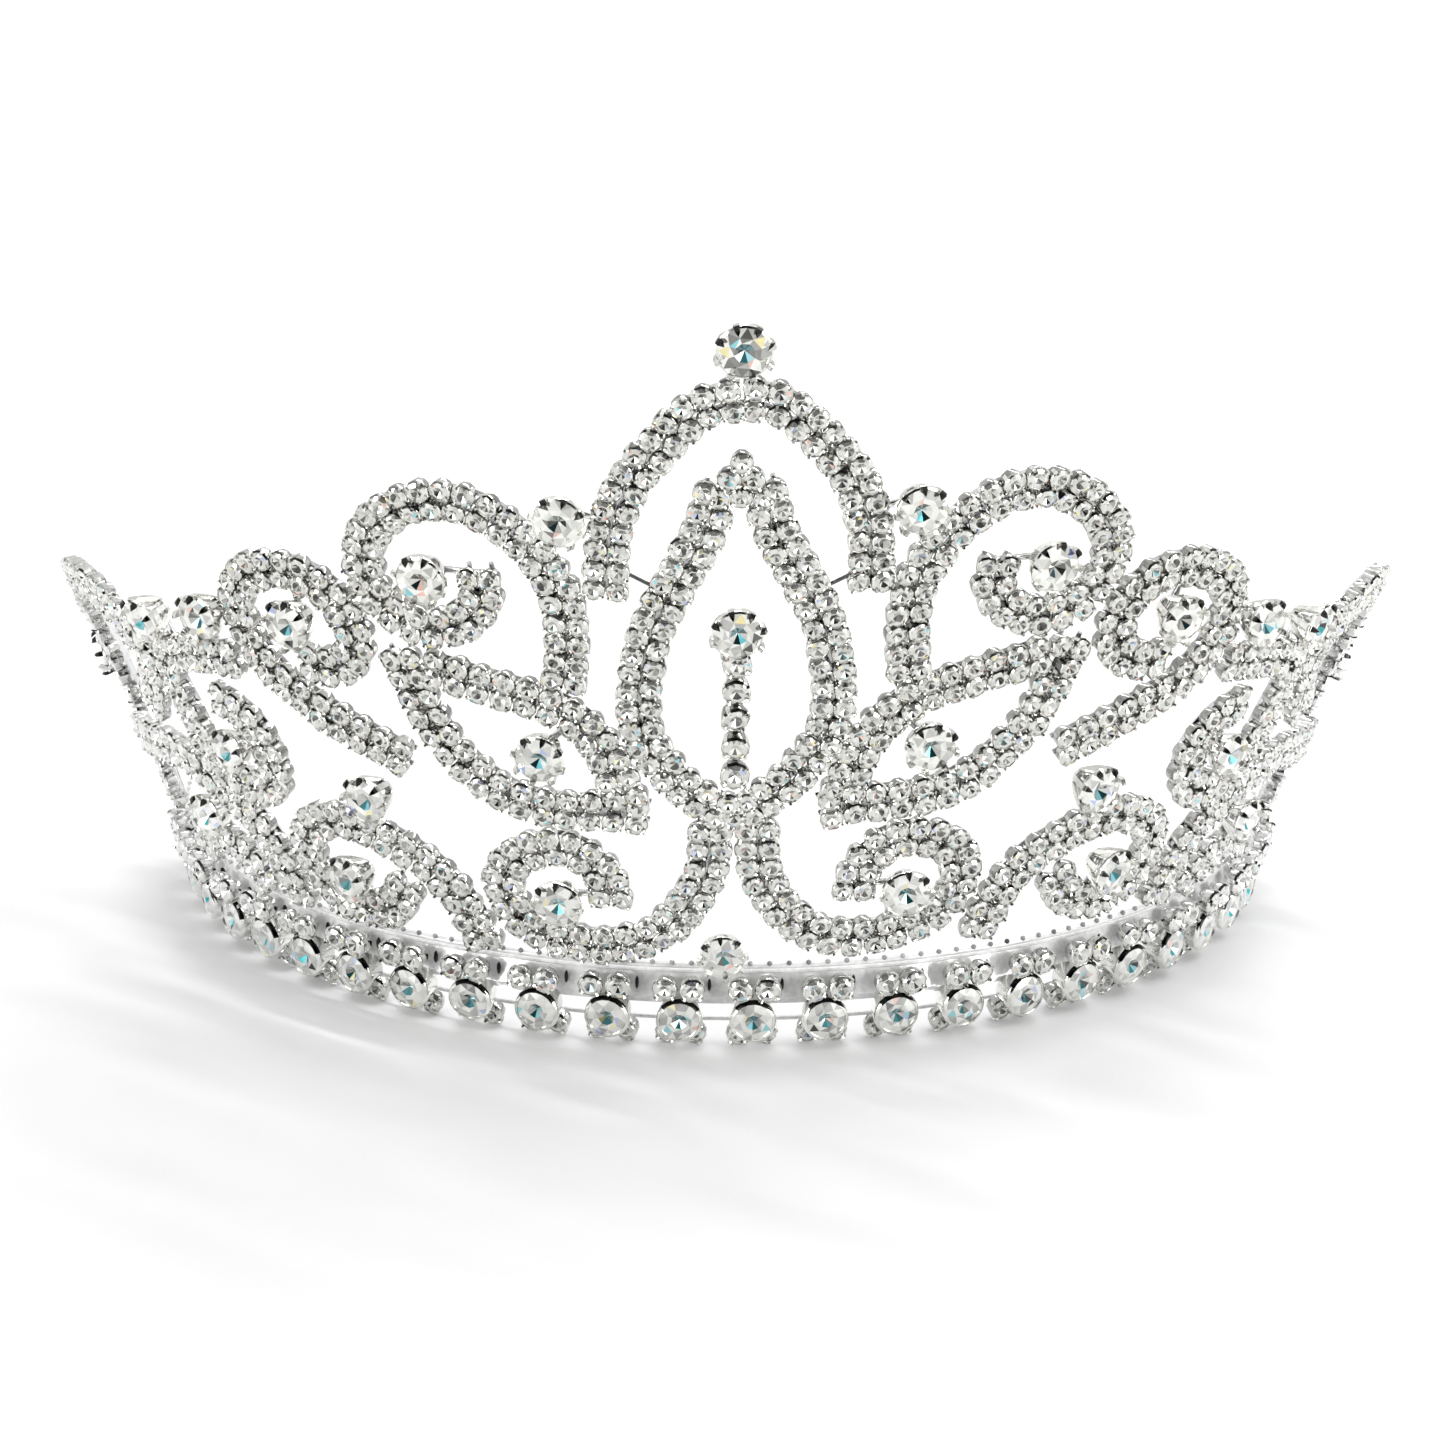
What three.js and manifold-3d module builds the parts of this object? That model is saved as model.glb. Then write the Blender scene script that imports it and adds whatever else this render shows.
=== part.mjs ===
// A bridal tiara of plated metal and clear crystals, in millimetres, +Z up.
// It stands on its foot. The origin is the middle of the front of the foot, and the front faces -Y.
import * as THREE from "three";
import { mergeVertices } from "three/addons/utils/BufferGeometryUtils.js";
import Module from "manifold-3d";

// Driving dimensions
const degrees = Math.PI / 180;
const FOOT_RADIUS = 61; // back of the openwork wall at the foot
const FLARE = 21.3 * degrees; // how far the wall leans outwards from vertical
const RING_END = 92; // each end of the band, in degrees round from the front
const HAND_BENT = 1.05; // the right side stands this much higher than true, and the left side lower
const HAND_BENT_REACH = 60; // distance round the wall over which that dies away

const STRAND_WIDTH = 4.4; // two rows of small cups
const STRAND_DEPTH = 2.3;
const BAR_WIDTH = 2.6; // one row of small cups
const STEP = 2; // spacing of the outline's points along a strand

const STONE_RADIUS = 2.8; // large stone over its claws
const STONE_HEIGHT = 4.6;
const STONE_SIDES = 10;

const RING_STEPS = 46;
const TRIM_STONES_EACH_SIDE = 13;
const TRIM_PITCH = 7.45;
const TRIM_SHIFT = 2.3; // the trim's middle stone sits this far to the right of the tiara's middle
const TRIM_STONE_RADIUS = 2.55;
const TRIM_STONE_HEIGHT = 3.4;
const TRIM_STONE_RISE = 5.1; // centre, measured up the wall
const TRIM_STONE_SUNK = 0.3; // how far outwards its back stands, so that it grows out of the rim
const RIM_HEIGHT = 2.8;
const FOOT_INNER = 0.4; // foot of the trim, outwards from FOOT_RADIUS
const FOOT_OUTER = 3;
const FOOT_MIDDLE = (FOOT_INNER + FOOT_OUTER) / 2;

const EYE_RADIUS = 2.6;
const EYE_HOLE_RADIUS = 1.3;
const EYE_THICKNESS = 1;
const EYE_TURN = 3; // how far past the end of the band its centre is, in degrees
const EYE_RISE = 8;

const silver = { color: "#d9dadc", metalness: 1, roughness: 0.25 };
const crystal = { color: "#eef2f4", metalness: 0.1, roughness: 0.08 };

const wasm = await Module();
wasm.setup();

const tiara = new THREE.Group();
tiara.position.y = FOOT_RADIUS + FOOT_MIDDLE;

// The wall is a cone standing point down, so it unrolls flat without stretching. The strands are drawn
// on that flat pattern: x runs round the wall from its middle, y up it from the foot, and depth outwards.
const APEX = FOOT_RADIUS / Math.sin(FLARE);

function bent(x) {
  return Math.abs(x) < HAND_BENT_REACH ? HAND_BENT * Math.sin((Math.PI * x) / HAND_BENT_REACH) : 0;
}

function onWall(x, y, depth) {
  const slant = Math.hypot(x, y + bent(x) + APEX);
  const turn = Math.atan2(x, y + bent(x) + APEX) / Math.sin(FLARE);
  const radius = slant * Math.sin(FLARE) + depth * Math.cos(FLARE);
  const height = (slant - APEX) * Math.cos(FLARE) - depth * Math.sin(FLARE);
  return new THREE.Vector3(radius * Math.sin(turn), -radius * Math.cos(turn), height);
}

function outwards(x, y) {
  return onWall(x, y, 1).sub(onWall(x, y, 0)).normalize();
}

// The place on the flat pattern that is turn degrees round from the front and rise up the wall.
function round(turn, rise) {
  const angle = turn * degrees * Math.sin(FLARE);
  return [(APEX + rise) * Math.sin(angle), (APEX + rise) * Math.cos(angle) - APEX];
}

function wrap(geometry) {
  const place = geometry.getAttribute("position");
  for (let i = 0; i < place.count; i++) {
    const p = onWall(place.getX(i), place.getY(i), place.getZ(i));
    place.setXYZ(i, p.x, p.y, p.z);
  }
  geometry.computeVertexNormals();
  return geometry;
}

function add(name, geometry, finish) {
  const mesh = new THREE.Mesh(geometry, new THREE.MeshStandardMaterial(finish));
  mesh.name = name;
  tiara.add(mesh);
  return mesh;
}

// A strand of cup chain: a ribbon of even width along a smooth line on the flat pattern.
function strand(name, points, width = STRAND_WIDTH) {
  const stations = points.map(([x, y]) => new THREE.Vector3(x, y, 0));
  const line = new THREE.CatmullRomCurve3(stations, false, "centripetal");
  const count = Math.max(2, Math.round(line.getLength() / STEP));
  const outer = [];
  const inner = [];
  for (let i = 0; i <= count; i++) {
    const p = line.getPointAt(i / count);
    const t = line.getTangentAt(i / count);
    outer.push(new THREE.Vector2(p.x - (t.y * width) / 2, p.y + (t.x * width) / 2));
    inner.unshift(new THREE.Vector2(p.x + (t.y * width) / 2, p.y - (t.x * width) / 2));
  }
  const shape = new THREE.Shape([...outer, ...inner]);
  const ribbon = new THREE.ExtrudeGeometry(shape, { depth: STRAND_DEPTH, bevelEnabled: false });
  return add(name, wrap(ribbon), silver);
}

function strandPair(name, points, width) {
  strand(name + "_right", points, width);
  strand(name + "_left", points.map(([x, y]) => [-x, y]), width);
}

// A cut stone in a tapered cup, turned round +Y from its seat outwards.
function stoneShape(radius, height) {
  const profile = [
    [0, 0],
    [0.57 * radius, 0],
    [0.78 * radius, 0.52 * height],
    [radius, 0.7 * height],
    [0.6 * radius, height],
    [0, height],
  ];
  return new THREE.LatheGeometry(profile.map(([r, h]) => new THREE.Vector2(r, h)), STONE_SIDES);
}

function stone(name, x, y, radius = STONE_RADIUS) {
  const mesh = add(name, stoneShape(radius, (STONE_HEIGHT * radius) / STONE_RADIUS), crystal);
  mesh.position.copy(onWall(x, y, 0));
  mesh.quaternion.setFromUnitVectors(new THREE.Vector3(0, 1, 0), outwards(x, y));
}

function stonePair(name, x, y, radius) {
  stone(name + "_right", x, y, radius);
  stone(name + "_left", -x, y, radius);
}

// The foot circle, from one end of the band to the other.
class FootArc extends THREE.Curve {
  getPoint(t) {
    const turn = (2 * t - 1) * RING_END * degrees;
    return new THREE.Vector3(FOOT_RADIUS * Math.sin(turn), -FOOT_RADIUS * Math.cos(turn), 0);
  }
}

// A section given as [outwards, up] from the foot circle, swept round the band.
function sweep(section) {
  const path = new FootArc();
  const { normals, binormals } = path.computeFrenetFrames(RING_STEPS, false);
  const up = Math.sign(normals[0].z);
  const out = Math.sign(binormals[0].dot(path.getPoint(0)));
  const shape = new THREE.Shape(section.map(([r, z]) => new THREE.Vector2(up * z, out * r)));
  return new THREE.ExtrudeGeometry(shape, {
    steps: RING_STEPS,
    bevelEnabled: false,
    extrudePath: path,
  });
}

// A corner of a section that leans with the wall: rise up the wall and depth outwards from it.
function leaning(rise, depth) {
  return [
    rise * Math.sin(FLARE) + depth * Math.cos(FLARE),
    rise * Math.cos(FLARE) - depth * Math.sin(FLARE),
  ];
}

function leaningBox(low, high, back, front) {
  return [leaning(low, back), leaning(low, front), leaning(high, front), leaning(high, back)];
}

function solid(geometry) {
  const bare = geometry.clone();
  bare.deleteAttribute("normal");
  bare.deleteAttribute("uv");
  const merged = mergeVertices(bare, 1e-4);
  return new wasm.Manifold(
    new wasm.Mesh({
      numProp: 3,
      vertProperties: merged.getAttribute("position").array,
      triVerts: new Uint32Array(merged.index.array),
    }),
  );
}

function geometryOf(body) {
  const mesh = body.getMesh();
  const geometry = new THREE.BufferGeometry();
  geometry.setAttribute("position", new THREE.BufferAttribute(mesh.vertProperties, 3));
  geometry.setIndex(new THREE.BufferAttribute(mesh.triVerts, 1));
  geometry.computeVertexNormals();
  return geometry;
}

// Band: a thin strip behind the stones, with the ledge that carries the upper row of small stones.
function addBand() {
  const section = [
    leaning(6.4, -0.9),
    leaning(6.4, -0.1),
    leaning(8.4, -0.1),
    leaning(8.4, 2),
    leaning(10.6, 2),
    leaning(10.6, -0.9),
  ];
  add("base_band", sweep(section), silver);
  add("lower_wire", sweep(leaningBox(2.2, 3, -1, -0.3)), silver);
  add("gallery_wire", sweep(leaningBox(10.95, 11.65, 0, 0.7)), silver);
}

// Trim: a beaded rim with a flat foot, and the row of large stones that grows out of it.
function addTrim() {
  const rimLean = RIM_HEIGHT * Math.tan(FLARE);
  let trim = solid(
    sweep([
      [FOOT_INNER, 0],
      [FOOT_OUTER, 0],
      [FOOT_OUTER + rimLean, RIM_HEIGHT],
      [FOOT_INNER + rimLean, RIM_HEIGHT],
    ]),
  );
  const furthest = RING_END - 2;
  for (let i = -TRIM_STONES_EACH_SIDE; i <= TRIM_STONES_EACH_SIDE; i++) {
    const turn = (i * TRIM_PITCH + TRIM_SHIFT) / FOOT_RADIUS / degrees;
    if (Math.abs(turn) > furthest) continue;
    const [x, y] = round(turn, TRIM_STONE_RISE);
    const centre = onWall(x, y - bent(x), TRIM_STONE_SUNK);
    const lean = outwards(x, y - bent(x));
    const turned = new THREE.Quaternion().setFromUnitVectors(new THREE.Vector3(0, 1, 0), lean);
    const place = new THREE.Matrix4().compose(centre, turned, new THREE.Vector3(1, 1, 1));
    trim = trim.add(solid(stoneShape(TRIM_STONE_RADIUS, TRIM_STONE_HEIGHT).applyMatrix4(place)));
  }
  add("base_trim", geometryOf(trim), crystal);
}

// Eyes at the ends of the band, for a hairpin or a ribbon.
function addEndLoop(name, side) {
  const [x, y] = round(RING_END + EYE_TURN, EYE_RISE);
  const eye = new THREE.Shape();
  eye.absarc(side * x, y, EYE_RADIUS, 0, 2 * Math.PI);
  const hole = new THREE.Path();
  hole.absarc(side * x, y, EYE_HOLE_RADIUS, 0, 2 * Math.PI, true);
  eye.holes.push(hole);
  const ring = new THREE.ExtrudeGeometry(eye, {
    depth: EYE_THICKNESS,
    bevelEnabled: false,
    curveSegments: 7,
  });
  ring.translate(0, 0, 0.1 - EYE_THICKNESS);
  add(name, wrap(ring), silver);
}

// Centre: the pointed arch over the leaf, the bar inside it, and the scrolls below.
function addCentre() {
  strandPair("arch", [
    [13.2, 61.2], [13.1, 65.5], [12.6, 70], [11, 74.8], [8.4, 78.8], [5.6, 82.4], [3.2, 84.2], [0.7, 84.8],
  ]);
  strandPair("leaf", [
    [2.4, 73.2], [3.6, 69], [6.1, 63.2], [8.3, 58], [9.4, 52.8], [9.85, 47.5], [9.1, 42.6], [6.5, 38.2],
    [3.6, 35], [2.4, 34.2],
  ]);
  strand("centre_bar", [[0, 54.4], [0, 45.4], [0, 36.4]], BAR_WIDTH);
  strandPair("scroll", [
    [2.5, 29.8], [2.6, 26.3], [3.3, 23.6], [4.5, 20.9], [6.4, 17.9], [9.3, 15.4], [13.2, 14.3],
    [17.6, 14.2], [21, 15.2], [23, 17], [24.4, 20], [23.8, 23.8], [20.9, 26.4], [18, 27.2], [15, 26],
    [13.2, 23.5], [12.7, 20.5],
  ]);
  stone("top_stone", 0.1, 91.4, 2.9);
  stone("bar_stone", 0, 57.6);
  stone("gallery_stone", -0.9, 14.6, 2.6);
  stonePair("scroll_stone", 18, 20.7);
  stonePair("shoulder_stone", 17.6, 70.9);
}

// Sides of the front: the large loop, the two strands of the side leaf, and the low scroll.
function addSides() {
  strandPair("large_loop", [
    [17.6, 48.9], [17.2, 54.4], [17.7, 60], [20, 65], [24, 68.8], [28.2, 70.3], [32.5, 69.5], [36.4, 66.6],
    [38.7, 62.4], [38.7, 58.2], [36.6, 55], [33.2, 53.6], [29.8, 54.3], [27.2, 56.5], [26, 59.2],
    [26.3, 61.6],
  ]);
  strandPair("side_leaf_upper", [
    [31.2, 48.2], [28.2, 47.8], [24.4, 47.4], [20.4, 46.6], [17, 45.1], [14.3, 42.4], [12.7, 39.3],
    [11.8, 36.8],
  ]);
  strandPair("side_leaf_lower", [
    [35.2, 48.3], [33.6, 44.7], [32.1, 41.3], [30.3, 38.5], [28.1, 36.3], [25.5, 34.3], [23, 33.1],
    [20, 32.6], [16, 32.7], [12, 32.8], [9.6, 32.6],
  ]);
  strandPair("low_scroll", [
    [27, 11.9], [27.9, 13.8], [29.6, 16.9], [32.6, 20], [36.4, 21.6], [40.4, 22.3], [44.6, 21.8],
    [48.1, 19], [49.4, 15.3], [48, 11.6], [44.6, 9.9], [40.8, 10.5], [37.9, 12.5], [36.5, 15.4],
  ]);
  stonePair("large_loop_stone", 31.8, 61);
  stonePair("side_leaf_stone", 19.8, 40.4);
  stonePair("low_scroll_stone", 42.6, 15.2);
  stonePair("low_scroll_top_stone", 39.4, 28.6);
}

// Wings: the small loop, the bent wing strand with its scroll, and the arm and low arch beneath.
function addWings() {
  strandPair("small_loop", [
    [35.6, 34.8], [40.9, 36], [45.4, 37.1], [50, 38.7], [53.6, 41.3], [55.6, 45], [55.5, 49], [53, 52.6],
    [48.9, 54.8], [45, 54.8], [41.8, 52.6], [40.5, 49.2], [41.6, 45.7], [44.2, 43.8], [47, 43.3],
  ]);
  strandPair("wing", [
    [57.6, 38], [62.4, 35.9], [66.6, 33.4], [69.6, 30.6], [69.2, 27.6], [67.4, 24.8], [66.1, 22.4],
    [64.9, 20],
  ]);
  strandPair("wing_scroll", [
    [61.2, 30.1], [58, 30], [55, 28.3], [53.2, 25], [54, 21.6], [56.5, 19.5], [59.5, 18.9],
  ]);
  strandPair("arm", [
    [51.3, 5.5], [53, 8.2], [55.6, 11.7], [58.9, 13.7], [62.5, 14.9], [66.8, 14.8], round(60, 27.8),
    round(65, 26.8), round(69.5, 25.8), round(74.5, 24.6), round(79, 22.8),
  ]);
  strandPair("low_arch", [
    round(50.7, 13.2), round(51.8, 15), round(54.8, 16.7), round(58.5, 16.9), round(62, 15.6),
    round(63.4, 13.4),
  ]);
  strandPair("teardrop", [
    round(82.5, 13.2), round(84.6, 17.6), round(85.6, 25), round(83.4, 33.4), round(79, 41), round(72.4, 46),
    round(65.4, 47.5), round(60.3, 45.8), round(57.6, 41.6), round(58.4, 37.2), round(60.8, 33.7),
  ]);
  stonePair("small_loop_stone", 47.6, 49.2);
  stonePair("wing_joint_stone", 60.1, 43.4);
  stonePair("wing_scroll_stone", 58.4, 24.8, 2.6);
  stonePair("wing_tip_stone", 70.2, 37);
  stonePair("low_arch_top_stone", ...round(55.1, 21.5), 2.6);
  stonePair("teardrop_stone", ...round(88.4, 30.5), 2.6);
}

addBand();
addTrim();
addEndLoop("end_loop_right", 1);
addEndLoop("end_loop_left", -1);
addCentre();
addSides();
addWings();

export default tiara;
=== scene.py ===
import math

import bpy
import numpy as np
from mathutils import Matrix, Vector


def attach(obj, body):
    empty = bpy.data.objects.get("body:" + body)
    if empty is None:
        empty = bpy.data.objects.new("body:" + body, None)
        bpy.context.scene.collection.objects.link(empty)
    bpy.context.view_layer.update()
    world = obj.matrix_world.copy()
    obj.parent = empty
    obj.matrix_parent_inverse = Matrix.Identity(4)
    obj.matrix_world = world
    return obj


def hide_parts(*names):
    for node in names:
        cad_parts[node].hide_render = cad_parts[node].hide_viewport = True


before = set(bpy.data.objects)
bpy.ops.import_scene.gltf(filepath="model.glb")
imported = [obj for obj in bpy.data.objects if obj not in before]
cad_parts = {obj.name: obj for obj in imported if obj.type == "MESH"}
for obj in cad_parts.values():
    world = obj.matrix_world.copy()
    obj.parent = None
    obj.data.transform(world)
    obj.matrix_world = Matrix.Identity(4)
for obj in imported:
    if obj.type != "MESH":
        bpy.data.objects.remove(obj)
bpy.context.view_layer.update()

MM = 0.001
rng = np.random.default_rng(7)

# ---------------------------------------------------------------------------------------------------
# The wall of the tiara is a cone standing point down. These are the part's own driving dimensions, in
# millimetres. Places on the wall are given on its flat pattern: x round it, y up it, depth outwards.
FOOT_RADIUS = 61.0
FLARE = math.radians(21.3)
FOOT_MIDDLE = 1.7
RING_Y = FOOT_RADIUS + FOOT_MIDDLE
APEX = FOOT_RADIUS / math.sin(FLARE)
RING_END = math.radians(92)

STRAND_WIDTH = 4.4
BAR_WIDTH = 2.6
TRIM_PITCH = 7.45
TRIM_SHIFT = 2.3
TRIM_STONES_EACH_SIDE = 13


def on_wall(x, y, depth=0.0):
    """The place in space, in millimetres, of a place on the flat pattern."""
    slant = math.hypot(x, y + APEX)
    turn = math.atan2(x, y + APEX) / math.sin(FLARE)
    radius = slant * math.sin(FLARE) + depth * math.cos(FLARE)
    height = (slant - APEX) * math.cos(FLARE) - depth * math.sin(FLARE)
    return Vector((radius * math.sin(turn), RING_Y - radius * math.cos(turn), height))


def around(turn, rise):
    """The place on the flat pattern that is turn radians round from the front and rise up the wall."""
    angle = turn * math.sin(FLARE)
    return (APEX + rise) * math.sin(angle), (APEX + rise) * math.cos(angle) - APEX


def unwrap(points):
    """x, y and depth on the flat pattern of points given in metres."""
    p = np.asarray(points, float) / MM - (0, RING_Y, 0)
    out = np.hypot(p[:, 0], p[:, 1]) - FOOT_RADIUS
    rise = out * math.sin(FLARE) + p[:, 2] * math.cos(FLARE)
    depth = out * math.cos(FLARE) - p[:, 2] * math.sin(FLARE)
    angle = np.arctan2(p[:, 0], -p[:, 1]) * math.sin(FLARE)
    return np.stack([(APEX + rise) * np.sin(angle), (APEX + rise) * np.cos(angle) - APEX, depth], 1)


def points_of(node):
    """The corners of a CAD node, in metres."""
    return np.array([v.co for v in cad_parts[node].data.vertices], float)


def outline(node):
    """The outline of a ribbon's back face on the flat pattern, in order round it."""
    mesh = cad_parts[node].data
    places, index = np.unique(points_of(node).round(7), axis=0, return_inverse=True)
    flat = unwrap(places)
    index = index.reshape(-1)
    on_back = flat[:, 2] < 0.1
    ends = {}
    for face in mesh.polygons:
        corners = [int(index[v]) for v in face.vertices]
        if not all(on_back[c] for c in corners):
            continue
        for a, b in zip(corners, corners[1:] + corners[:1]):
            if (b, a) in ends:
                del ends[(b, a)]
            else:
                ends[(a, b)] = True
    after = dict(ends.keys())
    first = next(iter(after))
    loop = [first]
    while after[loop[-1]] != first:
        loop.append(after[loop[-1]])
    return flat[loop, :2]


def centre_line(node, width):
    """The middle of a ribbon of even width, from the lower end to the higher."""
    loop = outline(node)
    n = len(loop)
    half = n // 2

    def pair(start):
        steps = np.arange(half)
        return loop[(start - steps) % n], loop[(start + 1 + steps) % n]

    def error(start):
        a, b = pair(start)
        return np.abs(np.hypot(*(a - b).T) - width).max()

    a, b = pair(min(range(n), key=error))
    line = (a + b) / 2
    return line if line[0, 1] < line[-1, 1] else line[::-1]


def smooth(line, step=0.1):
    """A dense Catmull-Rom curve through the points, evenly spaced by about step."""
    p = np.vstack([2 * line[0] - line[1], line, 2 * line[-1] - line[-2]])
    t = np.linspace(0, 1, 16, endpoint=False)[:, None]
    parts = []
    for a, b, c, d in zip(p, p[1:], p[2:], p[3:]):
        parts.append(
            0.5 * (2 * b + (c - a) * t + (2 * a - 5 * b + 4 * c - d) * t**2 + (3 * b - a - 3 * c + d) * t**3)
        )
    curve = np.vstack(parts + [line[-1:]])
    return resample(curve, max(2, round(length(curve) / step) + 1))


def length(curve):
    """The length of a curve given as points."""
    return float(np.hypot(*np.diff(curve, axis=0).T).sum())


def resample(curve, count):
    """The curve as count points, evenly spaced."""
    run = np.concatenate([[0], np.cumsum(np.hypot(*np.diff(curve, axis=0).T))])
    at = np.linspace(0, run[-1], count)
    return np.stack([np.interp(at, run, curve[:, 0]), np.interp(at, run, curve[:, 1])], 1)


def beside(curve, offset):
    """The curve that runs offset to the left of this one."""
    along = np.gradient(curve, axis=0)
    along /= np.hypot(*along.T)[:, None]
    return curve + offset * np.stack([-along[:, 1], along[:, 0]], 1)


def spaced(curve, pitch):
    """Evenly spaced places along the curve, half a pitch in from its ends, with the direction there."""
    count = max(1, round(length(curve) / pitch))
    fine = resample(curve, 2 * count + 1)
    places = fine[1::2]
    along = fine[2::2] - fine[:-1:2]
    return [(float(x), float(y), math.atan2(v, u)) for (x, y), (u, v) in zip(places, along)]


# ---------------------------------------------------------------------------------------------------
# Small shapes, each as vertices and triangles, with +Z outwards and a radius of 1.
STAR, CLEAR, CROWN, HIDDEN, METAL, WALL, RIM, CLAW = range(8)
TABLE_RADIUS = 0.64
TABLE_DIP = 0.03
PAVILION = 0.85
CLAW_HALF_THICKNESS = 0.09


def ring(count, radius, z):
    """Points evenly round a circle at one height."""
    a = np.arange(count) * 2 * math.pi / count
    return np.stack([radius * np.cos(a), radius * np.sin(a), np.full(count, z)], 1)


def fan(centre, loop):
    """Triangles from one point to a closed loop of points."""
    return [(centre, a, b) for a, b in zip(loop, loop[1:] + loop[:1])]


def band(lower, upper):
    """Triangles between two closed loops of as many points each."""
    faces = []
    for i in range(len(lower)):
        j = (i + 1) % len(lower)
        faces += [(lower[i], lower[j], upper[j]), (lower[i], upper[j], upper[i])]
    return faces


def brilliant(star=0.52, drop=0.36, crown=0.17):
    """A round cut stone. What shows through its table is a star of eight facets that falls to its middle."""
    girdle = ring(16, 1.0, 0.0)
    table = ring(8, TABLE_RADIUS, crown)
    inner = ring(8, star, crown - TABLE_DIP)
    verts = np.vstack([girdle, table, [[0, 0, crown - TABLE_DIP - drop]], [[0, 0, -PAVILION]], inner])
    g = list(range(16))
    t = list(range(16, 24))
    m = list(range(26, 34))
    faces = fan(24, m) + band(t, m)
    kinds = [STAR] * 8 + [CLEAR] * 16
    for i in range(8):
        j = (i + 1) % 8
        faces.append((t[i], g[2 * i + 1], t[j]))
        faces.append((t[i], g[2 * i], g[2 * i + 1]))
        faces.append((t[i], g[2 * i - 1], g[2 * i]))
        kinds += [CROWN] * 3
    faces += [(25, b, a) for _, a, b in fan(25, g)]
    kinds += [HIDDEN] * 16
    return verts, np.array(faces), np.array(kinds)


def cup(sides):
    """A tapered metal cup whose rim stands just outside the stone's girdle."""
    rings = [(0.75, -1.35), (0.96, -1.25), (1.17, -0.15), (1.12, -0.01), (1.0, 0.07), (0.98, -0.25)]
    verts = np.vstack([ring(sides, r, z) for r, z in rings] + [[[0, 0, -1.35]], [[0, 0, -0.3]]])
    loops = [list(range(i * sides, (i + 1) * sides)) for i in range(len(rings))]
    faces = []
    for lower, upper in zip(loops, loops[1:]):
        faces += band(lower, upper)
    faces += [(a, c, b) for a, b, c in fan(len(verts) - 2, loops[0])]
    faces += fan(len(verts) - 1, loops[-1])
    kinds = np.full(len(faces), WALL)
    kinds[4 * sides : 10 * sides] = RIM
    return verts, np.array(faces), kinds


def claw(stations, point):
    """One claw at +X, through stations of radius, height and width, to a point on the crown."""
    verts = []
    for i, (r, z, w) in enumerate(stations):
        r0, z0, _ = stations[max(i - 1, 0)]
        r1, z1, _ = stations[min(i + 1, len(stations) - 1)]
        run = math.hypot(r1 - r0, z1 - z0)
        lean = (CLAW_HALF_THICKNESS * (z1 - z0) / run, -CLAW_HALF_THICKNESS * (r1 - r0) / run)
        for dr, dz in ((-lean[0], -lean[1]), lean):
            verts += [(r + dr, -w / 2, z + dz), (r + dr, w / 2, z + dz)]
    faces = []
    for i in range(len(stations) - 1):
        a = 4 * i
        b = a + 4
        faces += [(a + 2, a + 3, b + 3), (a + 2, b + 3, b + 2)]
        faces += [(a, b, b + 1), (a, b + 1, a + 1)]
        faces += [(a, a + 2, b + 2), (a, b + 2, b)]
        faces += [(a + 1, b + 1, b + 3), (a + 1, b + 3, a + 3)]
    faces += [(0, 1, 3), (0, 3, 2)]
    last = 4 * (len(stations) - 1)
    verts.append((point[0], 0.0, point[1]))
    end = len(verts) - 1
    faces += [(last, end, last + 1), (last + 2, last + 3, end)]
    faces += [(last, last + 2, end), (last + 1, end, last + 3)]
    return np.array(verts, float), np.array(faces), np.full(len(faces), CLAW)


def collar(profile, sides=20):
    """A closed ring turned from a section of radius and height."""
    verts = np.vstack([ring(sides, r, z) for r, z in profile])
    loops = [list(range(i * sides, (i + 1) * sides)) for i in range(len(profile))]
    faces = []
    for lower, upper in zip(loops, loops[1:] + loops[:1]):
        faces += band(lower, upper)
    return verts, np.array(faces), np.full(len(faces), RIM)


def turned(shape, angle):
    """The shape turned about +Z."""
    verts, faces, kinds = shape
    c, s = math.cos(angle), math.sin(angle)
    return verts @ np.array([[c, s, 0], [-s, c, 0], [0, 0, 1]]), faces, kinds


def joined(*shapes):
    """Several shapes as one."""
    verts, faces, kinds, base = [], [], [], 0
    for v, f, k in shapes:
        verts.append(v)
        faces.append(f + base)
        kinds.append(k)
        base += len(v)
    return np.vstack(verts), np.vstack(faces), np.concatenate(kinds)


def ball(sides=8, stacks=5):
    """A faceted ball."""
    rows = []
    for i in range(1, stacks):
        a = math.pi * i / stacks
        rows.append(ring(sides, math.sin(a), -math.cos(a)))
    verts = np.vstack(rows + [[[0, 0, -1.0]], [[0, 0, 1.0]]])
    loops = [list(range(i * sides, (i + 1) * sides)) for i in range(stacks - 1)]
    faces = []
    for lower, upper in zip(loops, loops[1:]):
        faces += band(lower, upper)
    faces += [(a, c, b) for a, b, c in fan(len(verts) - 2, loops[0])]
    faces += fan(len(verts) - 1, loops[-1])
    return verts, np.array(faces), np.full(len(faces), METAL)


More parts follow.
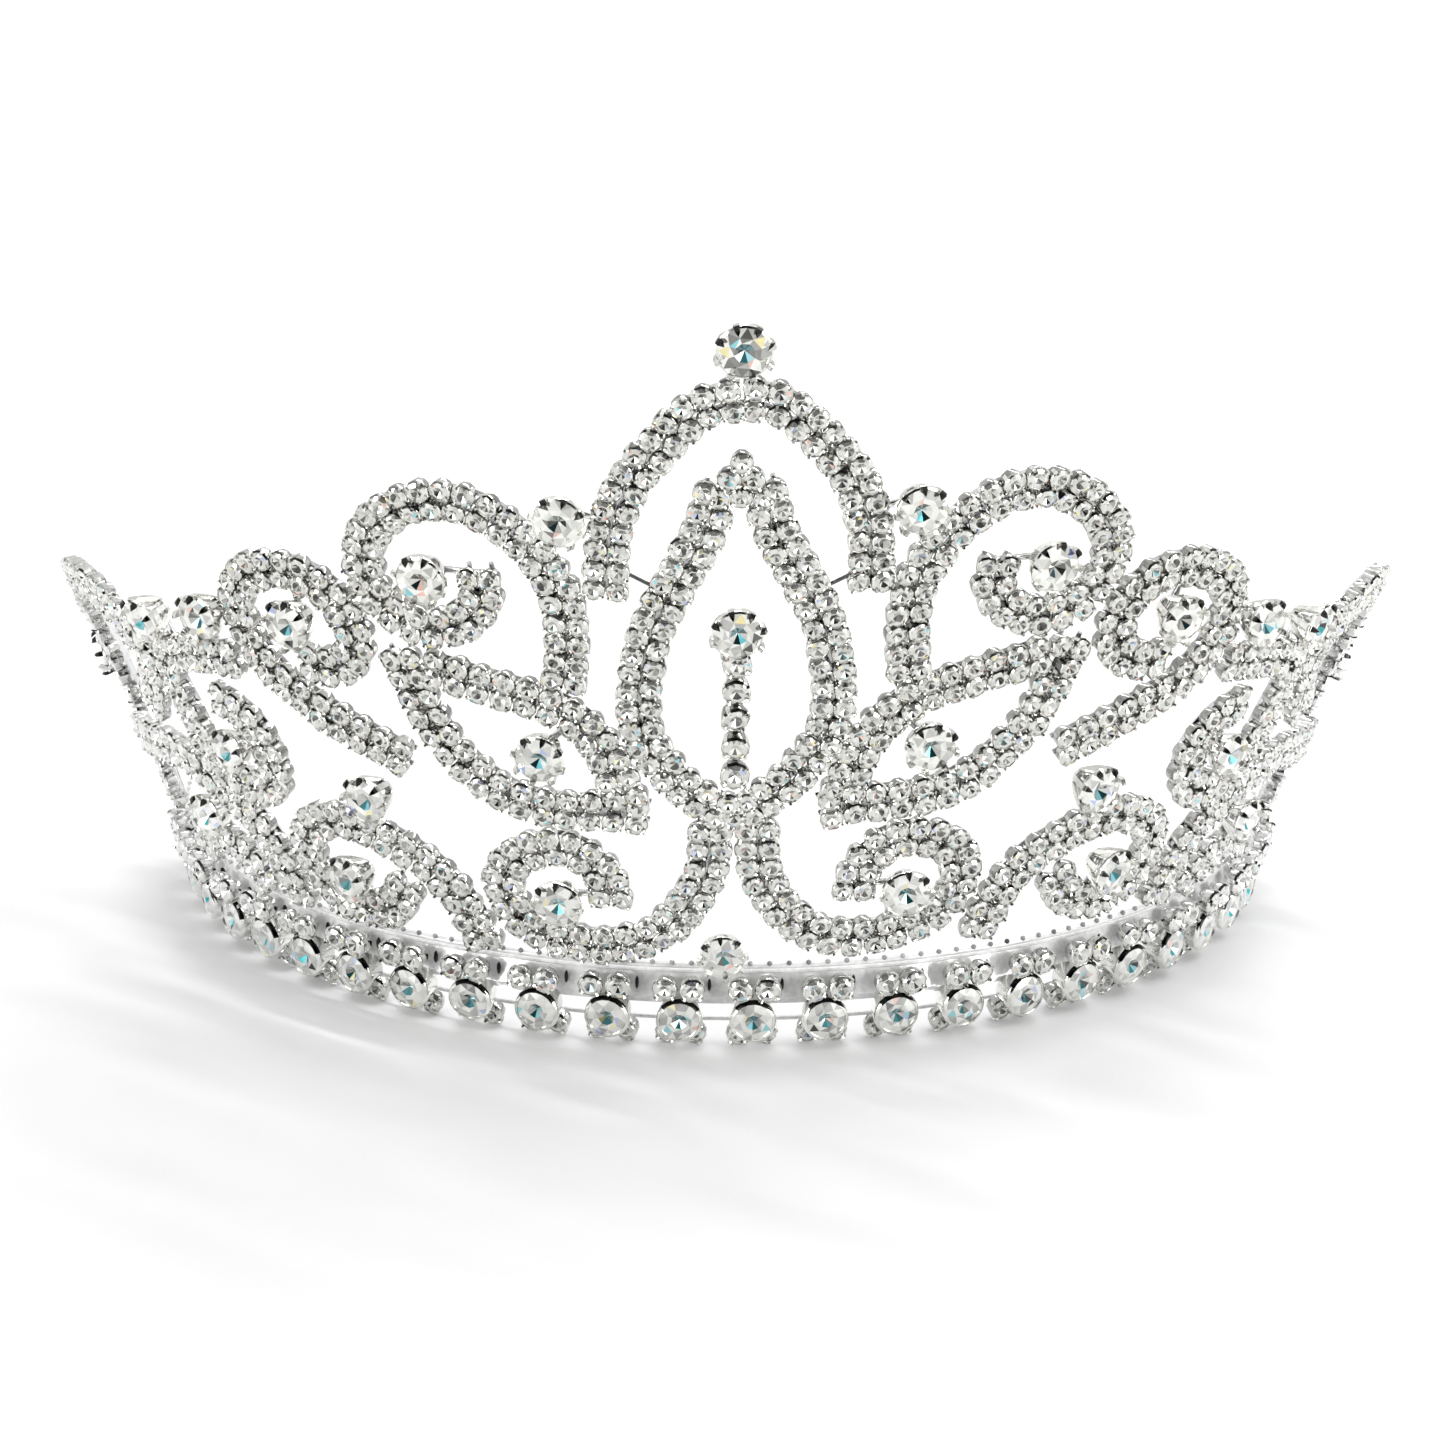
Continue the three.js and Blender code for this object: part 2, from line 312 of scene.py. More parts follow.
BRILLIANT = brilliant()
LARGE_BRILLIANT = brilliant(0.4, 0.28, 0.1)
SMALL_CLAW = claw(
    [(1.02, -0.75, 0.36), (1.16, -0.1, 0.36), (1.12, 0.14, 0.32), (0.98, 0.28, 0.25)],
    (0.82, 0.2),
)
SMALL_CUP = joined(cup(10), *[turned(SMALL_CLAW, math.radians(a)) for a in (45, 135, 225, 315)])
LARGE_CLAW = claw(
    [(0.45, -1.25, 0.2), (0.8, -0.7, 0.24), (1.06, -0.12, 0.27), (1.1, 0.14, 0.25), (1.02, 0.3, 0.18)],
    (0.86, 0.43),
)
LARGE_SEAT = collar([(0.98, -0.16), (1.07, -0.13), (1.07, -0.03), (0.99, 0.02)])
LARGE_FOOT = collar([(0.2, -1.34), (0.5, -1.32), (0.52, -1.18), (0.2, -1.14)])
LARGE_CUP = joined(LARGE_SEAT, LARGE_FOOT, *[turned(LARGE_CLAW, math.radians(a)) for a in range(0, 360, 45)])
TRIM_CUP = cup(20)
BALL = ball()

# ---------------------------------------------------------------------------------------------------
# Tones of the facets, painted reflections: mostly clear, some grey, a few dark, and now and then a coloured
# glint.
GLINTS = np.array([[0.25, 0.62, 0.68], [0.42, 0.5, 0.78], [0.86, 0.78, 0.42], [0.78, 0.5, 0.42]])
WARM_GLASS = (1.0, 0.995, 0.94)
WARM_METAL = (1.0, 0.995, 0.95)
# Painted reflections in a large stone: a dark wedge and a blue flash.
PAINTED_DARK_WEDGE = (0.03, 0.09, 0.1)
BLUE_FLASH = (0.16, 0.55, 0.64)
# Painted shade and dark reflection along the upper edges of cups, and painted dark reflection on claw tips.
PAINTED_DARK_EDGE = 0.02
PAINTED_CLAW_TIP = 0.04


def facet_tones(kinds, clear=0.775, grey_share=0.22, star_dark=0.3, glint_share=0.02, paler=0.0):
    """One colour to each facet, as painted reflections: the star in the middle is darker than the crown
    round it.
    """
    n = len(kinds)
    light = clear - 0.2 * rng.random(n) ** 2
    pick = rng.random(n)
    star = kinds == STAR
    grey = pick < np.where(star, 2.2 * grey_share, grey_share)
    light = np.where(grey, paler + rng.uniform(0.38, 0.68, n), light)
    dark = pick < np.where(star, star_dark, 0.2 * star_dark)
    light = np.where(dark, rng.uniform(0.03, 0.25, n), light)
    tones = light[:, None] * WARM_GLASS
    glint = rng.random(n) < glint_share
    tones[glint] = GLINTS[rng.integers(0, len(GLINTS), glint.sum())]
    tones[kinds == HIDDEN] = 0.6
    return tones


def large_tones(darker_reflections=0.0, paler=0.04):
    """A large stone is clear, with painted reflections: a dark wedge low in its star and often a flash of
    blue beside it.

    Its first argument puts more grey and dark painted reflections and more glints on its facets, and paler
    lifts the greys."""
    kinds = LARGE_BRILLIANT[2]
    tones = facet_tones(kinds, 0.9, 0.36 + darker_reflections, 0.2 + 0.5 * darker_reflections, 0.025 + 0.2 * darker_reflections, paler)
    wedge = int(rng.integers(5, 7))
    tones[wedge] = PAINTED_DARK_WEDGE
    if rng.random() < 0.65:
        tones[wedge + (1 if wedge == 5 else -1)] = BLUE_FLASH
    if rng.random() < 0.4:
        tones[rng.integers(8, 24)] = GLINTS[rng.integers(0, 4)]
    return tones


def metal_tones(shape, spin=0.0, wall=0.4, rim=0.8, claws=0.75, painted_crescent=0.35, painted_tips=None):
    """Painted shade and grime between the cups: walls are dark, rims lighter, and the upper edge is painted
    dark as shade and reflection; claw tips can be painted dark as reflection.
    """
    verts, faces, kinds = shape
    middle = verts[faces].mean(1)
    height = np.sin(np.arctan2(middle[:, 1], middle[:, 0]) + spin)
    tones = np.full(len(kinds), 0.95)
    # Painted shade and tarnish: cup walls darker between the cups.
    tones[kinds == WALL] = wall * rng.uniform(0.7, 1.3)
    tones[kinds == RIM] = rim * rng.uniform(0.8, 1.2)
    # Painted shade and dark reflection: the upper edge of the rim darker.
    tones[(kinds == RIM) & (height > 0.62)] = painted_crescent
    tones[kinds == CLAW] = claws * rng.uniform(0.7, 1.2)
    # Painted dark reflection: the upper claw tips darker.
    if painted_tips is not None:
        tones[(kinds == CLAW) & (height > rng.uniform(0.2, 0.6)) & (middle[:, 2] > 0.16)] = painted_tips
    return tones[:, None] * WARM_METAL


# Painted light: how much paler tones get towards the ends of the tiara and towards its foot.
END_PAINTED_LIGHT = 0.42
FOOT_PAINTED_LIGHT = 0.14
NEAR_BLACK = 0.06


class Batch:
    """Gathers many copies of small shapes into one mesh, with painted light that makes them paler towards
    the ends and the foot of the tiara.

    Tones near black stay as they are."""

    def __init__(self):
        self.verts = []
        self.faces = []
        self.tones = []
        self.count = 0

    def add(self, shape, matrix, tones=None):
        verts, faces, kinds = shape
        m = np.array(matrix)
        points = verts @ m[:3, :3].T + m[:3, 3]
        tones = np.full((len(faces), 3), 1.0) if tones is None else tones
        x, y, z = points.mean(0) / MM
        aside = abs(math.degrees(math.atan2(x, RING_Y - y)))
        # Painted light: paler towards the ends and the foot.
        pale = END_PAINTED_LIGHT * np.clip((aside - 35) / 40, 0, 1) + FOOT_PAINTED_LIGHT * np.clip((45 - z) / 30, 0, 1)
        self.verts.append(points)
        self.faces.append(faces + self.count)
        self.tones.append(tones + (1 - tones) * pale * (tones > NEAR_BLACK))
        self.count += len(verts)

    def mesh(self, name, smooth_below=None):
        mesh = bpy.data.meshes.new(name)
        verts = np.vstack(self.verts)
        faces = np.vstack(self.faces)
        mesh.from_pydata(verts.tolist(), [], faces.tolist())
        tone = mesh.attributes.new("tone", "FLOAT_COLOR", "CORNER")
        rgb = np.repeat(np.vstack(self.tones), 3, axis=0)
        tone.data.foreach_set("color", np.hstack([rgb, np.ones((len(rgb), 1))]).astype(np.float32).ravel())
        if smooth_below is not None:
            mesh.shade_smooth()
            mesh.set_sharp_from_angle(angle=math.radians(smooth_below))
        return mesh


def seat(x, y, depth, scale, spin=0.0, tilt=(0.0, 0.0), lift=0.0):
    """A matrix that stands a shape on the wall, scaled from a radius of 1 to scale millimetres.

    lift turns it to look further up than the wall does, in degrees."""
    origin = on_wall(x, y, depth)
    out = (on_wall(x, y, depth + 1) - origin).normalized()
    up = (on_wall(x, y + 0.5, depth) - on_wall(x, y - 0.5, depth)).normalized()
    side = up.cross(out)
    turn = Matrix((side, up, out)).transposed()
    turn = turn @ Matrix.Rotation(tilt[0] - math.radians(lift), 3, "X") @ Matrix.Rotation(tilt[1], 3, "Y")
    turn = turn @ Matrix.Rotation(spin, 3, "Z")
    return Matrix.Translation(origin * MM) @ (turn * (scale * MM)).to_4x4()


def add_piece(name, mesh, material, slot, *replaced):
    """A piece that rides on the part's one body and stands for the CAD nodes it replaces."""
    piece = bpy.data.objects.new(name, mesh)
    bpy.context.scene.collection.objects.link(piece)
    mesh.materials.append(material)
    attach(piece, "root")
    if replaced:
        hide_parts(*replaced)
    return piece


def wire(batch, line, depth, radius, sides=8, tone=0.95):
    """A round wire along a line on the flat pattern."""
    points = [on_wall(x, y, depth) for x, y in line]
    loops = []
    verts = []
    for i, p in enumerate(points):
        along = (points[min(i + 1, len(points) - 1)] - points[max(i - 1, 0)]).normalized()
        x, y = line[i]
        out = (on_wall(x, y, depth + 1) - p).normalized()
        side = along.cross(out).normalized()
        out = side.cross(along)
        loops.append(list(range(len(verts), len(verts) + sides)))
        for k in range(sides):
            a = 2 * math.pi * k / sides
            verts.append(p + radius * (math.cos(a) * side + math.sin(a) * out))
    faces = []
    for lower, upper in zip(loops, loops[1:]):
        faces += band(upper, lower)
    verts += [points[0], points[-1]]
    faces += fan(len(verts) - 2, loops[0])
    faces += [(a, c, b) for a, b, c in fan(len(verts) - 1, loops[-1])]
    verts = np.array([tuple(v) for v in verts]) * MM
    tones = np.full((len(faces), 3), tone)
    batch.add((verts, np.array(faces), np.full(len(faces), METAL)), Matrix.Identity(4), tones)


# ---------------------------------------------------------------------------------------------------
# Materials
def node_material(name):
    """A new material with its nodes, links and main shader."""
    material = bpy.data.materials.new(name)
    material.use_nodes = True
    nodes = material.node_tree.nodes
    return material, nodes, material.node_tree.links, nodes["Principled BSDF"]


def noise(nodes, links, scale, detail=2.0):
    """Noise in the object's own coordinates."""
    place = nodes.new("ShaderNodeTexCoord")
    texture = nodes.new("ShaderNodeTexNoise")
    texture.inputs["Scale"].default_value = scale
    texture.inputs["Detail"].default_value = detail
    links.new(place.outputs["Object"], texture.inputs["Vector"])
    return texture


def map_range(nodes, links, source, low, high):
    """The middle of a noise spread between low and high."""
    spread = nodes.new("ShaderNodeMapRange")
    spread.inputs["From Min"].default_value = 0.3
    spread.inputs["From Max"].default_value = 0.7
    spread.inputs["To Min"].default_value = low
    spread.inputs["To Max"].default_value = high
    links.new(source, spread.inputs["Value"])
    return spread.outputs["Result"]


def crystal_material():
    """Foil-backed glass: each facet mirrors what is in front of it, through its own tone, which carries
    painted reflections.
    """
    material, nodes, links, shader = node_material("crystal")
    tone = nodes.new("ShaderNodeAttribute")
    tone.attribute_name = "tone"
    cloud = noise(nodes, links, 900)
    tint = nodes.new("ShaderNodeMix")
    tint.data_type = "RGBA"
    tint.blend_type = "MULTIPLY"
    tint.inputs["Factor"].default_value = 0.35
    links.new(tone.outputs["Color"], tint.inputs["A"])
    ramp = nodes.new("ShaderNodeValToRGB")
    ramp.color_ramp.elements[0].position = 0.35
    ramp.color_ramp.elements[0].color = (0.72, 0.77, 0.77, 1)
    ramp.color_ramp.elements[1].position = 0.6
    ramp.color_ramp.elements[1].color = (1, 1, 1, 1)
    links.new(cloud.outputs["Fac"], ramp.inputs["Fac"])
    links.new(ramp.outputs["Color"], tint.inputs["B"])
    links.new(tint.outputs["Result"], shader.inputs["Base Color"])
    links.new(map_range(nodes, links, cloud.outputs["Fac"], 0.03, 0.1), shader.inputs["Roughness"])
    shader.inputs["Metallic"].default_value = 0.78
    shader.inputs["IOR"].default_value = 1.58
    shader.inputs["Coat Weight"].default_value = 0.6
    shader.inputs["Coat Roughness"].default_value = 0.02
    return material


def silver_material(name, metallic):
    """Bright plating over cast and drawn metal, a little uneven."""
    material, nodes, links, shader = node_material(name)
    grain = noise(nodes, links, 1600, 3)
    ramp = nodes.new("ShaderNodeValToRGB")
    ramp.color_ramp.elements[0].position = 0.3
    ramp.color_ramp.elements[0].color = (0.8, 0.8, 0.8, 1)
    ramp.color_ramp.elements[1].position = 0.62
    ramp.color_ramp.elements[1].color = (0.97, 0.97, 0.965, 1)
    links.new(grain.outputs["Fac"], ramp.inputs["Fac"])
    tone = nodes.new("ShaderNodeAttribute")
    tone.attribute_name = "tone"
    tint = nodes.new("ShaderNodeMix")
    tint.data_type = "RGBA"
    tint.blend_type = "MULTIPLY"
    tint.inputs["Factor"].default_value = 1.0
    links.new(tone.outputs["Color"], tint.inputs["A"])
    links.new(ramp.outputs["Color"], tint.inputs["B"])
    links.new(tint.outputs["Result"], shader.inputs["Base Color"])
    links.new(map_range(nodes, links, grain.outputs["Fac"], 0.08, 0.2), shader.inputs["Roughness"])
    bump = nodes.new("ShaderNodeBump")
    bump.inputs["Strength"].default_value = 0.08
    bump.inputs["Distance"].default_value = 0.00005
    links.new(grain.outputs["Fac"], bump.inputs["Height"])
    links.new(bump.outputs["Normal"], shader.inputs["Normal"])
    shader.inputs["Metallic"].default_value = metallic
    return material


CRYSTAL = crystal_material()
SILVER = silver_material("silver_plate", 1.0)
SATIN = silver_material("silver_satin", 0.12)

# ---------------------------------------------------------------------------------------------------
# Strands of cup chain
SMALL_RADIUS = 1.09
SMALL_PITCH = 2.47
SMALL_DEPTH = 1.75
SMALL_LIFT = 8.0
BAR_PITCH = 3.4
BAR_STONE_RADIUS = 1.36
ROW_OFFSET = 1.21
# The wires' tones are darker than the plating as painted shade behind the stones.
ROW_WIRE = (0.28, 0.3, 0.7)  # depth, radius and tone of the wire behind each row
BACK_WIRE = (0.58, 0.55, 0.5)  # and of the wire between the rows
WIRE_STEP = 1.2

# How much further a strand of stones runs than its solid does, at its lower and at its higher end, so
# that the strands meet where the solids keep their gaps.
REACH = {
    "arch": (0.7, 0.8),
    "leaf": (2.6, 1.6),
    "scroll": (0.8, 1.9),
    "large_loop": (0.5, 0.9),
    "side_leaf_upper": (3.2, 1.7),
    "side_leaf_lower": (0.9, 1.4),
    "low_scroll": (1.2, 1.6),
    "small_loop": (0.9, 0.7),
    "wing": (3.5, 1.2),
    "wing_scroll": (2.0, 0.6),
    "arm": (5.4, 0.9),
    "low_arch": (1.5, 1.2),
    "teardrop": (0.8, 1.2),
}
# Single stones where strands meet, on the middle line or beside it, and those at the tip of the leaf.
JOINS = [(0, 86.3), (0, 83.9), (1.3, 34.4), (-1.3, 34.4), (0, 32.6), (0, 30.3)]
LEAF_TIP = [(0.1, 77.4), (-1.1, 75.3), (1.25, 75.3), (0.1, 73.2), (-2.2, 73.1), (2.4, 73.1)]

# Two small stones stand no closer than this.
CLOSEST = 1.42

strands = {}
taken = []


def small_stone(
    stones, cups, x, y, angle, radius=SMALL_RADIUS, depth=SMALL_DEPTH, lift=SMALL_LIFT, edge=None
):
    """A small stone in its cup, unless another stone already stands there."""
    spot = on_wall(x, y, depth)
    if any((spot - other).length < CLOSEST for other in taken):
        return
    taken.append(spot)
    wobble = rng.normal(0, math.radians(5), 2)
    depth = depth + rng.normal(0, 0.07)
    radius = radius * rng.uniform(0.96, 1.04)
    angle = angle + rng.normal(0, 0.15)
    stones.add(
        BRILLIANT,
        seat(x, y, depth, radius, rng.uniform(0, math.pi), wobble, lift),
        facet_tones(BRILLIANT[2]),
    )
    # Painted shade and dark reflection of random depth on the cup's upper edge, unless edge gives it.
    painted_crescent = rng.choice([0.04, 0.15, 0.3, 0.5]) * rng.uniform(0.8, 1.2) if edge is None else edge
    cups.add(
        SMALL_CUP,
        seat(x, y, depth, radius, angle, wobble, lift),
        metal_tones(SMALL_CUP, angle, painted_crescent=painted_crescent),
    )


def back_wire(batch, curve, depth, radius, tone):
    wire(batch, resample(curve, max(3, round(length(curve) / WIRE_STEP))), depth, radius, 6, tone)


def chain(name, rows, *nodes, back=None, edge=None):
    """A strand of cup chain: rows are curves on the flat pattern, each with its pitch and stone radius.

    edge is the tone of the painted shade and dark reflection on the cups' upper edges, drawn at random if it
    isn't given."""
    stones = Batch()
    cups = Batch()
    for curve, pitch, radius in rows:
        for x, y, angle in spaced(curve, pitch):
            small_stone(stones, cups, x, y, angle, radius, edge=edge)
        back_wire(cups, curve, *ROW_WIRE)
    if back is not None:
        back_wire(cups, back, *BACK_WIRE)
    add_piece(name + "_cups", cups.mesh(name + "_cups", 50), SILVER, "silver_plate", *nodes)
    add_piece(name + "_stones", stones.mesh(name + "_stones"), CRYSTAL, "crystal")


def extended(line, start, end):
    """The line with straight lengths added at both ends."""
    a = line[0] - line[4]
    b = line[-1] - line[-5]
    first = line[0] + a / np.hypot(*a) * start
    last = line[-1] + b / np.hypot(*b) * end
    return np.vstack([np.linspace(first, line[0], 8)[:-1], line, np.linspace(line[-1], last, 8)[1:]])


def double_chain(node):
    """Two rows of stones along the middle of one of the part's ribbons."""
    line = smooth(centre_line(node, STRAND_WIDTH))
    strands[node] = line
    longer = extended(line, *REACH[node.rsplit("_", 1)[0]])
    rows = [(beside(longer, side * ROW_OFFSET), SMALL_PITCH, SMALL_RADIUS) for side in (-1, 1)]
    chain(node, rows, node, back=line)


PAIRED_STRANDS = (
    "arch leaf scroll large_loop side_leaf_upper side_leaf_lower low_scroll small_loop wing wing_scroll"
    " arm low_arch teardrop"
).split()

tip = Batch(), Batch()
for x, y in LEAF_TIP:
    small_stone(*tip, x, y, 0.0)
add_piece("leaf_tip_cups", tip[1].mesh("leaf_tip_cups", 50), SILVER, "silver_plate")
add_piece("leaf_tip_stones", tip[0].mesh("leaf_tip_stones"), CRYSTAL, "crystal")

for strand in PAIRED_STRANDS:
    for side in ("left", "right"):
        double_chain(f"{strand}_{side}")

bar = smooth(centre_line("centre_bar", BAR_WIDTH))
strands["centre_bar"] = bar
# The bar's cups get black painted shade and reflection on their upper edges.
chain("centre_bar", [(bar, BAR_PITCH, BAR_STONE_RADIUS)], "centre_bar", back=bar, edge=PAINTED_DARK_EDGE)

joins = Batch(), Batch()
for x, y in JOINS:
    small_stone(*joins, x, y, 0.0)
add_piece("joins_cups", joins[1].mesh("joins_cups", 50), SILVER, "silver_plate")
add_piece("joins_stones", joins[0].mesh("joins_stones"), CRYSTAL, "crystal")

# ---------------------------------------------------------------------------------------------------
# Large stones in claws
UPPER_WIRE_RISE = 9.7
LARGE_DEPTH = 3.35
LARGE_LIFT = 10
STONE_SHARE = 0.91  # of the reach of its CAD solid
TIE_DEPTH = 0.6
TIE_RADIUS = 0.45


def arc(rise):
    """A line round the whole band at one rise."""
    return np.array([around(turn, rise) for turn in np.linspace(-RING_END, RING_END, 140)])


def large_stone(node):
    """A claw-set stone in the place of one of the part's stones, tied to what is nearest."""
    places = np.unique(points_of(node).round(7), axis=0)
    x, y, _ = unwrap([places.mean(0)])[0]
    axis = np.array(on_wall(x, y, 1) - on_wall(x, y, 0))
    away = places / MM - np.array(on_wall(x, y, 0))
    reach = np.linalg.norm(away - np.outer(away @ axis, axis), axis=1).max()
    radius = STONE_SHARE * reach
    stones = Batch()
    claws = Batch()
    tilt = rng.normal(0, math.radians(3), 2)
    spin = rng.uniform(-0.3, 0.3)
    place = seat(x, y, LARGE_DEPTH, radius, spin, tilt, LARGE_LIFT)
    tones = large_tones(0.3, -0.2) if node == "top_stone" else large_tones()
    stones.add(LARGE_BRILLIANT, place, tones)
    # Painted dark reflection on the claw tips.
    claws.add(LARGE_CUP, place, metal_tones(LARGE_CUP, spin, 0.7, 0.9, 0.9, 0.85, PAINTED_CLAW_TIP))
    strands_near = [arc(UPPER_WIRE_RISE)] if node == "gallery_stone" else strands.values()
    nearest = min(
        (line[np.hypot(*(line - (x, y)).T).argmin()] for line in strands_near),
        key=lambda p: math.hypot(p[0] - x, p[1] - y),
    )
    wire(claws, np.linspace((x, y), nearest, 4), TIE_DEPTH, TIE_RADIUS)
    add_piece(node + "_claws", claws.mesh(node + "_claws", 50), SILVER, "silver_plate", node)
    add_piece(node + "_crystal", stones.mesh(node + "_crystal"), CRYSTAL, "crystal")


for node in sorted(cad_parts):
    if "_stone" in node:
        large_stone(node)

# ---------------------------------------------------------------------------------------------------
# Band and trim
TRIM_RADIUS = 2.22
TRIM_RISE = 5.0
TRIM_DEPTH = 3.0
TRIM_LIFT = 14
TRIM_END = math.radians(90)  # no trim stone stands further round than this

# Beside the middle of each trim stone: how far aside, rise, radius, depth and lift.
PAIR_ABOVE = (1.38, 9.2, 1.27, 2.8, 14)
PAIR_BELOW = (1.5, 2.1, 1.15, 1.6, 10)
SLOT_ASIDE = 3.0
SLOT_RISE = 8.4
SLOT_DEPTH = 0.7
SLOT_HALF_SIZE = (0.22, 0.95, 0.35, 1)
# A slot is drawn as a black ball: painted shade standing in for the dark inside the slot.
SLOT_PAINTED_SHADE = 0.03


def add_trim():
    """The row of large stones, with its small stones, beads, and black balls painted as the shade in the
    slots.
    """
    stones = Batch()
    cups = Batch()
    for i in range(-TRIM_STONES_EACH_SIDE, TRIM_STONES_EACH_SIDE + 1):
        turn = (i * TRIM_PITCH + TRIM_SHIFT) / FOOT_RADIUS
        if abs(turn) > TRIM_END:
            continue
        x, y = around(turn, TRIM_RISE)
        tilt = rng.normal(0, math.radians(2), 2)
        spin = rng.uniform(-0.3, 0.3)
        place = seat(x, y, TRIM_DEPTH, TRIM_RADIUS, spin, tilt, TRIM_LIFT)
        stones.add(LARGE_BRILLIANT, place, large_tones(0.08, -0.08))
        # Black painted shade and reflection along the upper edge of each trim cup.
        cups.add(TRIM_CUP, place, metal_tones(TRIM_CUP, spin, 0.8, 0.9, painted_crescent=PAINTED_DARK_EDGE))
        for side in (-1, 1):
            for aside, rise, radius, depth, lift in (PAIR_ABOVE, PAIR_BELOW):
                x, y = around(turn + side * aside / FOOT_RADIUS, rise)
                small_stone(stones, cups, x, y, 0.0, radius, depth, lift)
        # A black ball as the painted shade of the slot.
        x, y = around(turn + SLOT_ASIDE / FOOT_RADIUS, SLOT_RISE)
        slot = seat(x, y, SLOT_DEPTH, 1.0) @ Matrix.Diagonal(SLOT_HALF_SIZE)
        cups.add(BALL, slot, np.full((len(BALL[1]), 3), SLOT_PAINTED_SHADE))
    add_piece("trim_cups", cups.mesh("trim_cups", 50), SILVER, "silver_plate", "base_trim")
    add_piece("trim_stones", stones.mesh("trim_stones"), CRYSTAL, "crystal")


# Painted shade on the inner face of the band's strips.
INNER_PAINTED_SHADE = 0.6


def strip(batch, low, high, back, front_low, front_high):
    """A flat strip round the band, between two rises, with its front at one depth below and another above.

    Its inner face is painted darker than the rest, as painted shade."""
    corners = [(low, back), (low, front_low), (high, front_high), (high, back)]
    verts = []
    loops = []
    for turn in np.linspace(-RING_END, RING_END, 160):
        loops.append(list(range(len(verts), len(verts) + 4)))
        verts += [on_wall(*around(turn, rise), depth) * MM for rise, depth in corners]
    faces = []
    for lower, upper in zip(loops, loops[1:]):
        faces += band(upper, lower)
    a, b = loops[0], loops[-1]
    faces += [(a[0], a[1], a[2]), (a[0], a[2], a[3]), (b[0], b[2], b[1]), (b[0], b[3], b[2])]
    verts = np.array([tuple(v) for v in verts])
    tones = np.full((len(faces), 3), 1.0)
    # Painted shade: the inner face darker.
    tones[np.arange(len(faces)) % 8 > 5] = INNER_PAINTED_SHADE
    batch.add((verts, np.array(faces), np.full(len(faces), METAL)), Matrix.Identity(4), tones)


def add_band():
    """The band's two strips and its wires, the wire behind the beads, and the beaded wire on top."""
    plate = Batch()
    strip(plate, 6.9, 9.5, -1.0, 1.2, -0.6)
    strip(plate, 5.4, 6.3, -0.9, 0.4, -0.4)
    wire(plate, arc(6.6), 0.3, 0.28)
    wire(plate, arc(UPPER_WIRE_RISE), -0.1, 0.28)
    add_piece("band_strip", plate.mesh("band_strip", 30), SATIN, "silver_plate", "base_band")
    lower = Batch()
    wire(lower, arc(2.4), -0.6, 0.25)
    add_piece("lower_wire_round", lower.mesh("lower_wire_round", 60), SATIN, "silver_plate", "lower_wire")
    gallery = Batch()
    wire(gallery, arc(10.7), 0.2, 0.32)
    for x, y, _ in spaced(arc(11.1), 2.1):
        gallery.add(BALL, seat(x, y, 0.3, 0.3), np.full((len(BALL[1]), 3), rng.uniform(0.05, 0.4)))
    add_piece("gallery_beads", gallery.mesh("gallery_beads", 60), SATIN, "silver_plate", "gallery_wire")


EYE = 2.0
EYE_DEPTH = -0.4


def add_ties():
    """Short wires between the feet of the arch and the leaf."""
    ties = Batch()
    for side in (-1, 1):
        line = np.linspace((side * 11.2, 63.3), (side * 8.6, 61.9), 4)
        wire(ties, line, 1.2, 0.22, 6, 0.12)
    add_piece("arch_ties", ties.mesh("arch_ties", 60), SILVER, "silver_plate")


def add_end_loop(node):
    """The eye at one end of the band, and the wire that carries it."""
    batch = Batch()
    x, y, _ = unwrap([np.unique(points_of(node).round(7), axis=0).mean(0)])[0]
    circle = [(x + EYE * math.cos(a), y + EYE * math.sin(a)) for a in np.linspace(0, 2 * math.pi, 33)]
    wire(batch, np.array(circle), EYE_DEPTH, 0.45, tone=0.5)
    band_end = np.array(around(math.copysign(RING_END, x), 8.2))
    away = band_end - (x, y)
    start = (x, y) + away / np.hypot(*away) * 1.9
    wire(batch, np.linspace(start, band_end, 4), EYE_DEPTH, 0.4, tone=0.5)
    add_piece(node + "_ring", batch.mesh(node + "_ring", 60), SILVER, "silver_plate", node)


add_trim()
add_band()
add_ties()
add_end_loop("end_loop_left")
add_end_loop("end_loop_right")


# ---------------------------------------------------------------------------------------------------
# Floor, light and camera
def add_floor():
    """A wide pale floor, slightly uneven like paper."""
    half = 20.0
    mesh = bpy.data.meshes.new("floor")
    corners = [(-half, -half, 0), (half, -half, 0), (half, half, 0), (-half, half, 0)]
    mesh.from_pydata(corners, [], [(0, 1, 2, 3)])
    floor = bpy.data.objects.new("floor", mesh)
    bpy.context.scene.collection.objects.link(floor)
    material, nodes, links, shader = node_material("pale_floor")
    paper = noise(nodes, links, 40, 4)
    ramp = nodes.new("ShaderNodeValToRGB")
    ramp.color_ramp.elements[0].color = (0.85, 0.85, 0.86, 1)
    ramp.color_ramp.elements[1].color = (0.88, 0.88, 0.885, 1)
    links.new(paper.outputs["Fac"], ramp.inputs["Fac"])
    links.new(ramp.outputs["Color"], shader.inputs["Base Color"])
    shader.inputs["Roughness"].default_value = 0.6
    mesh.materials.append(material)


